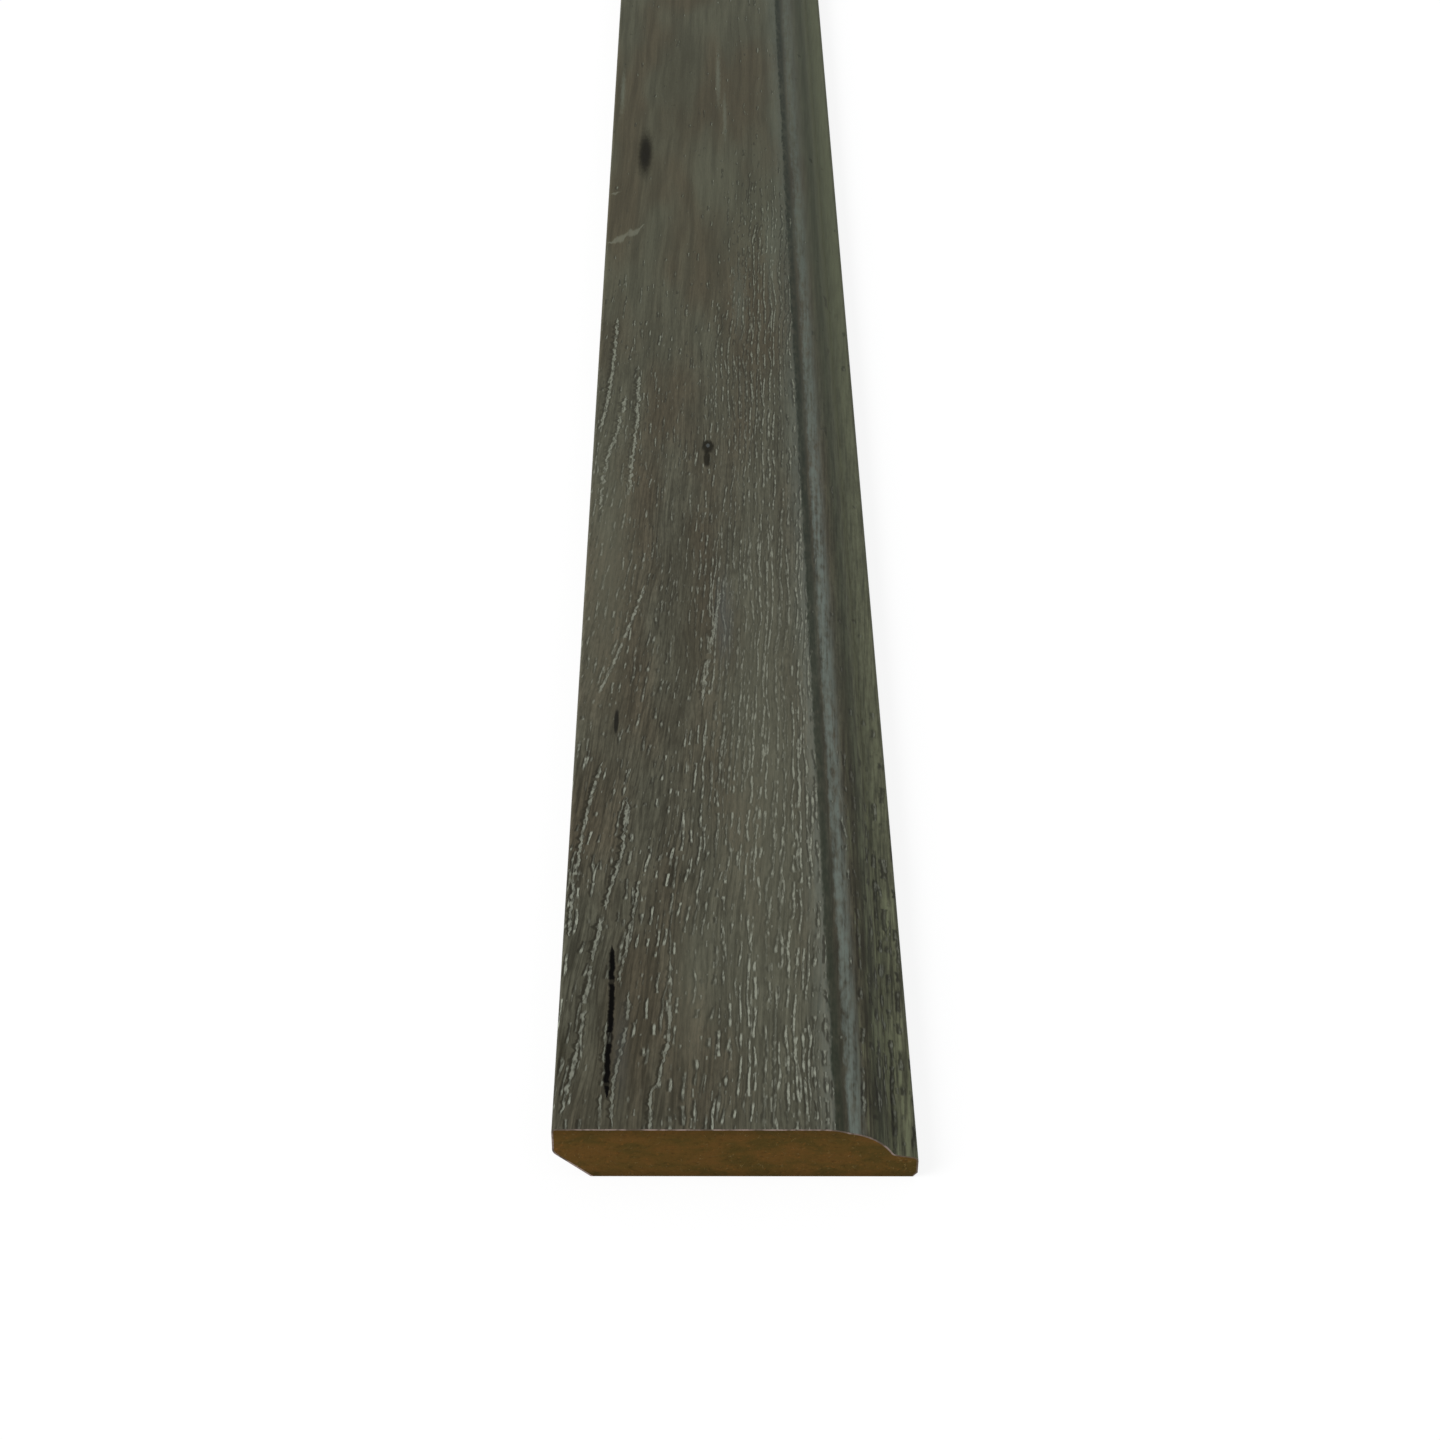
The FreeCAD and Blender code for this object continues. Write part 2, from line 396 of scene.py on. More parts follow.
def grain_group() -> bpy.types.NodeTree:
    """Oak figure: how the grain wanders, its fibres, its darker bands and its patches of tone.

    Returns:
        The group. It reads and writes millimetres across and along the board. The grain leans on the
        face and runs straighter on the moulding, past the crease.
    """
    numbers = ("Fibres", "Rays", "Streaks", "Bands", "Patches")
    g, into, out = new_group("oak figure", named(["Vector"], ["Crease"]), named(["Vector"], numbers))
    here = into["Vector"]
    across, along, _ = g.split(here)
    past = g.less(across, into["Crease"])
    # The grain leans across the face in slow turns and wanders on two scales, less on the moulding.
    sway, waver = g.lumps(here, (75, 180), (3.1, 0.4, 0)), g.lumps(here, (17, 42), (0, 7.7, 0))
    lean = g.times(g.maths("MINIMUM", past, 0.0), 0.39)
    turn = g.maths("SINE", g.times(along, 1 / 300))
    bent = g.add(g.add(across, g.times(along, -0.03)), g.times(lean, turn))
    wander = g.add(g.swing(sway, 10.0), g.swing(waver, 3.2))
    bent = g.add(bent, g.times(wander, g.rest(g.times(g.step(past, -2.0, 5.0), 0.8))))
    flow = g.vector(bent, along)
    g.fill(
        out,
        Vector=flow,
        Fibres=g.lumps(flow, (0.8, 13), detail=2.0, rough=0.65),
        Rays=g.lumps(flow, (0.8, 2.6), (0, 0, 3), detail=2.0, rough=0.6),
        Streaks=g.lumps(flow, (1, 22), (0, 0, 12), detail=2.0, rough=0.6),
        Bands=g.lumps(flow, (3.6, 60), (0, 0, 5)),
        Patches=g.lumps(here, (20, 80), (0, 0, 9), detail=2.0),
    )
    return g.tree


def blemish_group() -> bpy.types.NodeTree:
    """One long spot with a frayed rim, such as a knot, a crack or a stain.

    Returns:
        The group. Its output is 1 in the middle and 0 from the rim outwards.
    """
    inputs = named(("Vector", "Middle", "Half Size"), ("Fray", "Soft"))
    g, into, out = new_group("blemish", inputs, named([], ["Mask"]))
    gap = g.vectors("SUBTRACT", into["Vector"], into["Middle"])[0]
    share = g.vectors("DIVIDE", gap, into["Half Size"])[0]
    reach = g.vectors("LENGTH", share)["Value"]
    ragged = g.lumps(into["Vector"], (0.6, 2.6), detail=2.0, rough=0.6)
    rim = g.add(reach, g.swing(ragged, into["Fray"]))
    g.fill(out, Mask=g.step(rim, 1.0, g.rest(into["Soft"])))
    return g.tree


@dataclass(frozen=True)
class PoreRow:
    """One size of limed pore in the foil, in mm.

    Attributes:
        spacing: Room for each lane across the board.
        width: Width of a pore.
        length: Length of one dash and the gap after it.
        density: Share of the lane that is filled.
        depth: How far it stands out, 0 to 1.
    """

    spacing: float
    width: float
    length: float
    density: float
    depth: float


@dataclass(frozen=True)
class Blemish:
    """A knot, crack or stain in the printed oak, in mm.

    Attributes:
        middle: Where it is, across the board and along it from the near end.
        half_size: Half its width and half its length.
        colour: Its colour.
        depth: How far it covers the oak, 0 to 1.
        fray: How ragged its rim is.
        soft: Share of it over which it fades.
    """

    middle: Point
    half_size: Point
    colour: Colour
    depth: float
    fray: float = 0.5
    soft: float = 0.45


@dataclass(frozen=True)
class Trail:
    """A line drawn on the oak, in mm.

    Attributes:
        course: Its points, across the board from X = 0 and along it from the near end, in order along it.
        width: Its width.
        broken: How far it is broken up into beads, 0 to 1.
        crosswise: Whether it runs across the grain, with each point's two numbers the other way round.
    """

    course: tuple[Point, ...]
    width: float
    broken: float = 1.0
    crosswise: bool = False


@dataclass(frozen=True)
class PrintPlace:
    """Where the foil's print is read, and the oak figure there.

    Attributes:
        g: The material's graph.
        wrap: Millimetres across the board, along its outline, and along it from the near end.
        across: The first of these.
        along: The second.
        past: How far past the crease, in mm across.
        figure: What the oak figure's group puts out.
        calm: How calm the print is there, 0 to 1.
        moulded: 0 on the face and 1 on the moulding, past its crown.
        crisp: 1 by the near end, where the streaks stand out, and 0 further off.
    """

    g: Graph
    wrap: Socket
    across: Socket
    along: Socket
    past: Socket
    figure: Sockets
    calm: Socket
    moulded: Socket
    crisp: Socket


BLACK = srgb(6, 5, 4)
SOOT = srgb(24, 21, 9)
UMBER = srgb(38, 35, 22)
SHADE = srgb(62, 58, 45)
PALE = srgb(104, 104, 88)
SLATE = srgb(80, 84, 84)
MILKY = srgb(126, 132, 120)


@dataclass(frozen=True)
class LimedOakFoil:
    """The dark grey limed-oak foil. Its places are in mm, and along the board from the near end.

    Attributes:
        ground: Its main tone.
        brown: Its warmer patches.
        green: The moulding.
        painted_verge_light: A paler tone on the moulding towards the top edge, painted light where its round
            turns away from the lamps.
        straw: The moulding's lighter streaks.
        lime: The pale filling of the pores, also used for the scratches and for a painted highlight on the
            shoulder's rim.
        dark: The fibres between them, and the painted shade in the pores' grooves and on the nib.
        shadow: The painted shade in the line of the crease.
        painted_sheen: The painted sheen on the moulding's crown, and on the shoulder before the crease.
        painted_far_shade: What the calmer stretch of the print, further along, is darkened by: painted shade
            that offsets the glancing sheen it takes from the lamps there.
        crisp: Where the streaks start to stand out towards the near end, and where they do so fully.
        faint: Where the pores start to grow fainter, and where they are faintest.
        calm: Where the print starts to grow calmer, and where it is calmest.
        lively: Where it starts to grow lively again, and where it is.
        fibre_depth: How dark the fibres are, 0 to 1.
        ray_depth: How dark the short flecks between them are.
        streak_depth: How dark the long streaks are.
        band_depth: How dark the broad bands are.
        ring_depth: How dark the lines between those bands are.
        groove_shade_depth: How dark the painted shade in the pores' grooves is.
        lime_depth: How pale the pores are.
        chain_depth: How pale the chains of pores are, as a share of that.
        scratch_depth: How pale the scratches are.
        rows: The sizes of its pores.
        chains: The lines of pores that wander across the face.
        crack: The black crack.
        scratches: The two pale scratches.
        blemishes: Its knots, stains and patches.
    """

    ground: Colour = srgb(100, 99, 84)
    brown: Colour = srgb(96, 89, 73)
    green: Colour = srgb(83, 87, 67)
    painted_verge_light: Colour = srgb(119, 121, 95)
    straw: Colour = srgb(132, 137, 106)
    lime: Colour = srgb(158, 161, 146)
    dark: Colour = srgb(38, 36, 27)
    shadow: Colour = srgb(36, 43, 30)
    painted_sheen: Colour = srgb(106, 114, 106)
    painted_far_shade: Colour = (0.79, 0.81, 0.76)
    crisp: Point = (170, 60)
    faint: Point = (70, 190)
    calm: Point = (190, 450)
    lively: Point = (600, 800)
    fibre_depth: float = 0.42
    ray_depth: float = 0.28
    streak_depth: float = 0.3
    band_depth: float = 0.32
    ring_depth: float = 0.42
    groove_shade_depth: float = 0.78
    lime_depth: float = 0.92
    chain_depth: float = 0.68
    scratch_depth: float = 0.28
    rows: tuple[PoreRow, ...] = (
        PoreRow(2.4, 0.53, 7.5, 0.76, 1.0),
        PoreRow(3.7, 0.5, 17, 0.6, 0.95),
        PoreRow(1.5, 0.34, 3.4, 0.46, 0.55),
    )
    chains: tuple[Trail, ...] = (
        # From the near end to the short black tick.
        Trail(((-38.6, 60), (-38.3, 76), (-37.4, 88), (-36.7, 98), (-35.4, 109), (-32.6, 126)), 1.0),
        Trail(((-38.2, 4), (-37.2, 11), (-35.9, 19), (-34.7, 28), (-33.8, 42), (-32.2, 57)), 1.05),
        Trail(((-32.9, 52), (-31.3, 65), (-29.3, 78), (-27.3, 89), (-26, 104), (-26.2, 112)), 1.15),
        Trail(((-26.9, 0), (-27, 12), (-26, 20), (-25, 27), (-24.3, 34), (-24.2, 43)), 0.9),
        Trail(((-26.6, 45), (-25.4, 54), (-24.4, 63), (-23.1, 73), (-22.4, 84)), 0.85),
        Trail(((-29.5, -3), (-29.6, 10), (-29, 17), (-29.2, 24), (-29, 33)), 0.8),
        Trail(((-18.5, -3), (-18.6, 9), (-17.4, 13), (-16, 21), (-14.9, 29), (-14.8, 54)), 0.9),
        # Level with the pin knot.
        Trail(((-38.6, 283), (-36.6, 298), (-35.4, 318), (-34.6, 352)), 1.2),
        Trail(((-37, 240), (-36, 263), (-34.6, 274), (-32.8, 286), (-30.6, 304)), 1.3),
        Trail(((-28.6, 248), (-28.2, 266), (-27.6, 279), (-27, 300), (-27.4, 322)), 1.3),
        # Between the tick and the pin knot.
        Trail(((-35.7, 150), (-32.3, 162), (-27.3, 183), (-23.2, 203)), 1.0),
        Trail(((-7.4, 148), (-5.8, 168), (-3.6, 188), (-2.2, 204)), 1.0),
    )
    crack: Trail = Trail(
        ((-27.9, 9), (-28.4, 17), (-28.2, 25), (-28, 34), (-28.1, 45), (-28.4, 58)), 1.75, broken=0.25
    )
    scratches: tuple[Trail, ...] = (
        Trail(((402, -39.5), (406.5, -34), (410, -30.5), (415.5, -27)), 6.0, crosswise=True),
        Trail(((438, -39.5), (440.5, -35.5)), 5.0, crosswise=True),
    )
    blemishes: tuple[Blemish, ...] = (
        # Broad and long patches, pale and dark.
        Blemish((8, 110), (22, 190), PALE, 0.4, 0.6, 1.0),
        Blemish((-34, 215), (12, 110), PALE, 0.45, 0.6, 1.0),
        Blemish((-10, 45), (9, 50), PALE, 0.35, 0.6, 1.0),
        Blemish((31, 95), (2.8, 130), SHADE, 0.5, 0.6, 1.0),
        Blemish((-26, 26), (18, 75), SHADE, 0.3, 0.6, 1.0),
        Blemish((-12, 190), (9, 90), SHADE, 0.4, 0.6, 1.0),
        Blemish((6, 520), (10, 70), SHADE, 0.2, 0.6, 1.0),
        Blemish((-16, 525), (14, 75), SHADE, 0.45, 0.6, 1.0),
        # The grey stain, the short black tick, and the stains by the crack and at the floor edge.
        Blemish((-1.5, 188), (4, 30), SLATE, 0.35, 0.3, 0.9),
        Blemish((-29.6, 142), (0.8, 6.5), BLACK, 0.8),
        Blemish((-25.4, 24), (2.8, 24), SLATE, 0.2, 0.5, 0.9),
        Blemish((-38.8, 24), (1.8, 11), UMBER, 0.5, 0.5, 0.9),
        # Milky streaks further along.
        Blemish((-1.5, 535), (1.3, 34), MILKY, 0.4, 1.2, 0.9),
        Blemish((0.8, 500), (1, 28), MILKY, 0.35, 1.2, 0.9),
        Blemish((-37, 522), (1.2, 26), MILKY, 0.4, 1.2, 0.9),
        Blemish((15.5, 392), (3.6, 52), MILKY, 0.2, 1.2, 0.9),
        Blemish((4.6, 364), (3.4, 36), MILKY, 0.22, 1.2, 0.9),
        # The pin knot, its grey middle and its tail.
        Blemish((-5.7, 274.6), (2.3, 4.4), SOOT, 0.9),
        Blemish((-5.7, 275.2), (0.7, 1.3), SLATE, 0.8),
        Blemish((-6, 267.8), (1.3, 5.6), SOOT, 0.9, 0.3),
        # The far knot and its black heart.
        Blemish((-27.8, 469), (4, 25), UMBER, 0.95, 0.4, 0.75),
        Blemish((-27.7, 470), (2.4, 17), SOOT, 0.85, 0.4, 0.7),
    )

    def material(self, crease: float) -> bpy.types.Material:
        """Builds the foil's material.

        Args:
            crease: Where the face meets the moulding, in mm across the board.

        Returns:
            The material.
        """
        made, g, shader = new_material("limed oak foil")
        at = self.place(g, crease)
        pores, grooves, lime = self.pores(at)
        tone, fibre = self.oak(at)
        tone = self.moulding(at, tone)
        clear = g.rest(g.times(g.less(g.step(at.along, *self.faint), g.step(at.along, *self.lively)), 0.34))
        chain, furrow_shade = self.trails(at, self.chains)
        cracked, _ = self.trails(at, (self.crack,))
        scratch, _ = self.trails(at, self.scratches)
        relief = g.less(g.less(g.times(fibre, 0.3), pores), g.times(cracked, 3.0))
        grooves = g.most(grooves, furrow_shade)
        lime = g.most(g.times(lime, clear), g.times(chain, self.chain_depth))
        lime = g.times(lime, g.add(0.3, g.times(g.step(at.figure["Rays"], 0.38, 0.56), 0.7)))
        # Painted shade darkens the grooves beside the pores and chains, on the side where their walls face
        # away from the lamps.
        tone = g.mix(g.times(grooves, self.groove_shade_depth, clear), tone, self.dark)
        strong = g.less(self.lime_depth, g.times(at.moulded, 0.42))
        tone = g.mix(g.times(lime, strong), tone, self.lime)
        tone = g.mix(g.times(scratch, self.scratch_depth), tone, self.lime)
        tone = self.marks(at, tone)
        # Painted shade darkens the calm stretch further along, against the glancing sheen seen there.
        tone = g.mix(at.calm, tone, self.painted_far_shade, Blend.MULTIPLY)
        tone = g.mix(cracked, tone, BLACK)
        rough = g.add(g.add(0.5, g.times(pores, 0.2)), g.times(cracked, 0.5))
        normal = g.bump(relief, 0.1 * MM, 0.5)
        g.fill(shader, Base_Color=tone, Roughness=rough, Specular_IOR_Level=0.08, Normal=normal)
        return made

    def place(self, g: Graph, crease: float) -> PrintPlace:
        """Finds where on the foil the material is read.

        Args:
            g: The material's graph.
            crease: Where the face meets the moulding, in mm across the board.

        Returns:
            The place.
        """
        wrap = g.node("Attribute", attribute_name=WRAP).outputs["Vector"]
        across, along, _ = g.split(wrap)
        past = g.less(across, crease)
        figure = g.fill(g.node("Group", node_tree=grain_group()), Vector=wrap, Crease=crease)
        calm = g.less(g.step(along, *self.calm), g.step(along, *self.lively))
        moulded, crisp = g.step(past, 4.0, 8.0), g.step(along, *self.crisp)
        return PrintPlace(g, wrap, across, along, past, figure, calm, moulded, crisp)

    def pores(self, at: PrintPlace) -> tuple[Socket, Socket, Socket]:
        """Scatters the limed pores.

        Args:
            at: Where the print is read.

        Returns:
            The masks of the pores, of the painted shade in their grooves and of the lime in them.
        """
        g = at.g
        crowd = self.crowd(at)
        pores, grooves, lime = 0.0, 0.0, 0.0
        tree = pore_group()
        for seed, row in enumerate(self.rows):
            found = g.fill(
                g.node("Group", node_tree=tree),
                Vector=at.figure["Vector"],
                Spacing=row.spacing,
                Width=row.width,
                Length=row.length,
                Density=g.times(crowd, row.density),
                Seed=5.0 * seed,
            )
            pores = g.most(pores, g.times(found["Pore"], row.depth))
            grooves = g.most(grooves, g.times(found["Groove"], row.depth))
            shine = g.add(0.25, g.times(found["Shade"], 0.75))
            lime = g.most(lime, g.times(found["Pore"], shine, row.depth))
        return pores, grooves, lime

    def crowd(self, at: PrintPlace) -> Socket:
        """Finds how thick the pores stand.

        Args:
            at: Where the print is read.

        Returns:
            The share of them that shows, about 0 to 1.
        """
        g, across, along = at.g, at.across, at.along
        # They stand thick by the near end, and further along on the right, then thin out and come back.
        patchy = g.step(g.lumps(at.wrap, (22, 60), (1.7, 0.3, 4.0)), 0.3, 0.6)
        further = g.times(g.step(across, -2.0, 6.0), 75.0)
        near = g.step(g.less(along, further), 420.0, 300.0)
        later = g.step(g.lumps(at.wrap, (math.inf, 330), (0.5, 0.1, 7.0), detail=0.0), 0.2, 0.7)
        strong = g.most(near, g.times(g.step(along, 520.0, 760.0), later))
        share = g.times(g.add(0.72, g.times(patchy, 0.28)), g.add(0.3, g.times(strong, 0.7)))
        # Few stand on the moulding past its near end, and some are left out towards the floor edge.
        pored = g.times(g.step(along, 230.0, 60.0), g.step(at.past, 4.5, 7.0), 0.5)
        bare = g.times(g.step(at.past, -0.9, -0.2), g.less(0.8, pored))
        sparse = g.add(bare, g.times(g.step(across, 2.0, -14.0), 0.38))
        return g.times(share, g.rest(sparse))

    def oak(self, at: PrintPlace) -> tuple[Socket, Socket]:
        """Colours the oak under the pores.

        Args:
            at: Where the print is read.

        Returns:
            The colour, and how far the place is from a dark fibre, 0 to 1.
        """
        g, figure = at.g, at.figure
        fine = g.less(g.rest(g.times(at.calm, 0.72)), g.times(at.moulded, g.rest(at.crisp), 0.2))
        # The face is grey and brown, and the moulding green, with painted light making it paler towards the
        # top edge.
        tone = g.mix(g.step(figure["Patches"], 0.36, 0.6), self.brown, self.ground)
        tone = g.mix(g.step(at.past, 5.0, 11.0), tone, self.green)
        higher = g.less(0.95, g.times(g.step(at.along, 100.0, 300.0), 0.2))
        tone = g.mix(g.times(g.step(at.past, 10.0, 14.0), higher), tone, self.painted_verge_light)
        # Painted shade slightly darkens the nib by the top edge.
        tone = g.mix(g.times(g.step(at.past, 15.0, 16.0), 0.12), tone, self.dark)
        # The dark figure is weaker where the print is calm, and its bands hardly show on the moulding.
        fibre = g.step(figure["Fibres"], 0.34, 0.64)
        ray = g.step(figure["Rays"], 0.3, 0.66)
        band = g.step(figure["Bands"], 0.3, 0.68)
        ring = g.ridge(figure["Bands"], 0.04)
        streak = g.step(figure["Streaks"], 0.54, 0.34)
        ridged = g.add(g.times(at.crisp, 0.2), g.times(at.moulded, 0.1))
        tone = g.mix(g.times(g.rest(fibre), self.fibre_depth, fine), tone, self.dark)
        tone = g.mix(g.times(g.rest(ray), self.ray_depth, fine), tone, self.dark)
        plain = g.rest(g.times(at.moulded, 0.85))
        banded = g.times(g.rest(band), plain, self.band_depth)
        ringed = g.times(ring, plain, g.less(self.ring_depth, g.times(at.calm, 0.38)))
        tone = g.mix(g.most(banded, ringed), tone, self.dark)
        tone = g.mix(g.times(streak, g.add(g.times(fine, self.streak_depth), ridged)), tone, self.dark)
        light = g.times(g.step(figure["Streaks"], 0.5, 0.68), at.moulded)
        return g.mix(g.times(light, g.add(0.1, g.times(at.crisp, 0.38))), tone, self.straw), fibre

    def moulding(self, at: PrintPlace, tone: Input) -> Socket:
        """Paints shade into the crease, where the face meets the moulding, painted sheen onto the shoulder
        before it and the crown after it, and a faint painted highlight along the shoulder's rim.

        Args:
            at: Where the print is read.
            tone: The oak's colour so far.

        Returns:
            The colour.
        """
        g = at.g
        # Places are in mm past the crease, and the rims are ragged.
        ragged = g.lumps(at.figure["Vector"], (1.4, 5), detail=2.0, rough=0.7)
        streaky = g.step(at.figure["Streaks"], 0.36, 0.6)
        edge = g.add(at.past, g.swing(ragged, 1.5))
        shoulder = g.times(g.step(at.past, -7.0, -1.0), g.step(edge, 0.2, -0.6))
        crease = g.times(g.step(edge, -1.0, -0.2), g.step(edge, 2.6, 0.8))
        crown = g.times(g.step(edge, 2.0, 3.0), g.step(edge, 7.3, 4.4))
        lively = g.step(ragged, 0.3, 0.66)
        sheen = g.times(crown, g.add(g.times(streaky, 0.4), g.times(lively, 0.55)))
        # Painted sheen lightens the shoulder, where the face rolls away from the lamps into the crease.
        tone = g.mix(g.times(shoulder, g.times(ragged, 0.6)), tone, self.painted_sheen)
        # A faint painted highlight in the lime colour along the shoulder's rim, towards the near end.
        near = g.step(at.along, 300.0, 160.0)
        rim = g.times(g.step(at.past, -3.5, -1.5), g.step(edge, -0.1, -0.7), near)
        tone = g.mix(g.times(rim, 0.13), tone, self.lime)
        # Painted shade darkens the crease, over the shading that its slope gets from the lamps.
        tone = g.mix(g.times(crease, g.add(0.54, g.times(lively, 0.34))), tone, self.shadow)
        # The crown gets a painted sheen that stands in for the lamps' reflection, weaker further along.
        strong = g.less(1.15, g.times(g.step(at.along, 150.0, 600.0), 0.6))
        return g.mix(g.times(sheen, strong), tone, self.painted_sheen)

    def trails(self, at: PrintPlace, trails: Sequence[Trail]) -> list[Socket]:
        """Draws lines along their courses.

        Args:
            at: Where the print is read.
            trails: The lines.

        Returns:
            A mask of the lines and a mask of the painted shade in the grooves that they lie in.
        """
        g = at.g
        tree = bpy.data.node_groups.get("trail") or trail_group()
        masks = [0.0, 0.0]
        for seed, trail in enumerate(trails):
            side, way = (at.along, at.across) if trail.crosswise else (at.across, at.along)
            found = g.fill(
                g.node("Group", node_tree=tree),
                Off=g.less(side, g.curve(way, trail.course)),
                Along=way,
                Start=trail.course[0][1],
                End=trail.course[-1][1],
                Width=trail.width,
                Broken=trail.broken,
                Seed=3.7 * seed,
            )
            masks = [g.most(mask, found[name]) for mask, name in zip(masks, ("Mask", "Groove"))]
        return masks

    def marks(self, at: PrintPlace, tone: Input) -> Socket:
        """Adds the knots, stains and patches.

        Args:
            at: Where the print is read.
            tone: The oak's colour so far.

        Returns:
            The colour.
        """
        g = at.g
        tree = blemish_group()
        for mark in self.blemishes:
            there = g.fill(
                g.node("Group", node_tree=tree),
                Vector=at.wrap,
                Middle=(*mark.middle, 0.0),
                Half_Size=(*mark.half_size, 1.0),
                Fray=mark.fray,
                Soft=mark.soft,
            )
            tone = g.mix(g.times(there["Mask"], mark.depth), tone, mark.colour)
        return tone


@dataclass(frozen=True)
class FoilEdge:
    """The foil's cut edge, paler than its face, with saw marks.

    Attributes:
        pale: Its main tone.
        stained: Where the cut has rubbed the board's dust into it.
        smeared: At the nib, where the saw has smeared the dust right over it.
        nib: Where the smear starts across the board, in mm, and where it is full.
    """

    pale: Colour = srgb(152, 132, 124)
    stained: Colour = srgb(84, 70, 56)
    smeared: Colour = srgb(84, 66, 40)
    nib: Point = (35.5, 39)

    def material(self) -> bpy.types.Material:
        """Builds the cut edge's material.

        Returns:
            The material.
        """
        made, g, shader = new_material("foil cut edge")
        here = g.object_mm()
        patchy = g.lumps(here, (5, 1, 5), detail=3.0, rough=0.75)
        tone = g.mix(g.step(patchy, 0.4, 0.58), self.stained, self.pale)
        across, _, _ = g.split(here)
        nib = g.step(g.add(across, g.times(patchy, 3.0)), *self.nib)
        tone = g.mix(g.times(nib, 0.85), tone, self.smeared)
        rough = g.add(0.6, g.times(patchy, 0.2))
        g.fill(shader, Base_Color=tone, Roughness=rough, Normal=g.bump(patchy, 0.05 * MM, 0.5))
        return made


@dataclass(frozen=True)
class Mdf:
    """Raw MDF: brown, mottled and finely fibrous.

    Attributes:
        ground: Its main tone.
        red: Redder clumps of fibre.
        olive: Greener clumps.
        dark: Bark specks and the pressed skin under the face.
        warm: Orange flecks.
        fibre: Pale single fibres.
        face_skin: Where the skin under the face starts above the back, in mm, and where it is full.
        back_skin: The same for the skin at the back.
    """

    ground: Colour = srgb(92, 70, 32)
    red: Colour = srgb(99, 72, 34)
    olive: Colour = srgb(82, 66, 30)
    dark: Colour = srgb(50, 37, 13)
    warm: Colour = srgb(128, 84, 40)
    fibre: Colour = srgb(130, 110, 68)
    face_skin: Point = (11, 14.6)
    back_skin: Point = (3, 0.5)

    def material(self) -> bpy.types.Material:
        """Builds the MDF's material.

        Returns:
            The material.
        """
        made, g, shader = new_material("raw mdf")
        here = g.object_mm()
        clumps = g.lumps(here, (7, 7, 3), detail=2.0, rough=0.55)
        grit = g.lumps(here, (1.3, 1.3, 0.8), (5, 5, 5), detail=3.0, rough=0.6)
        flecks = g.lumps(here, (1.1, 1.1, 0.7), (2, 8, 1))
        curl = g.lumps(here, (1.7, 1.7, 1.3), (9, 0, 0))
        threads = g.times(g.ridge(curl, 0.04), g.step(g.lumps(here, (1.4, 1.4, 1.4), (0, 3, 7)), 0.55, 0.68))
        tone = g.mix(g.step(clumps, 0.44, 0.66), self.ground, self.red)
        tone = g.mix(g.step(clumps, 0.5, 0.34), tone, self.olive)
        tone = g.mix(g.times(g.step(grit, 0.5, 0.26), 0.36), tone, self.dark)
        tone = g.mix(g.times(g.step(flecks, 0.62, 0.76), 0.45), tone, self.warm)
        tone = g.mix(g.times(threads, 0.45), tone, self.fibre)
        up = g.split(here)[2]
        skin = g.add(g.step(up, *self.face_skin), g.step(up, *self.back_skin))
        tone = g.mix(g.times(skin, 0.3), tone, self.dark)
        normal = g.bump(g.add(grit, g.times(threads, 0.6)), 0.25 * MM, 0.7)
        g.fill(shader, Base_Color=tone, Roughness=0.9, Specular_IOR_Level=0.06, Normal=normal)
        return made


def new_material(name: str) -> tuple[bpy.types.Material, Graph, Node]:
    """Starts a material with one Principled shader.

    Args:
        name: Its name.

    Returns:
        The material, its graph and the shader.
    """
    made = bpy.data.materials.new(name)
    made.use_nodes = True
    return made, Graph(made.node_tree), made.node_tree.nodes["Principled BSDF"]


@dataclass(frozen=True)
class Stretch:
    """One stretch of the outline, from where the last one ended.

    Attributes:
        end: Where it ends, across and up.
        centre: An arc's centre, or None for a straight run.
    """

    end: Vector
    centre: Vector | None = None


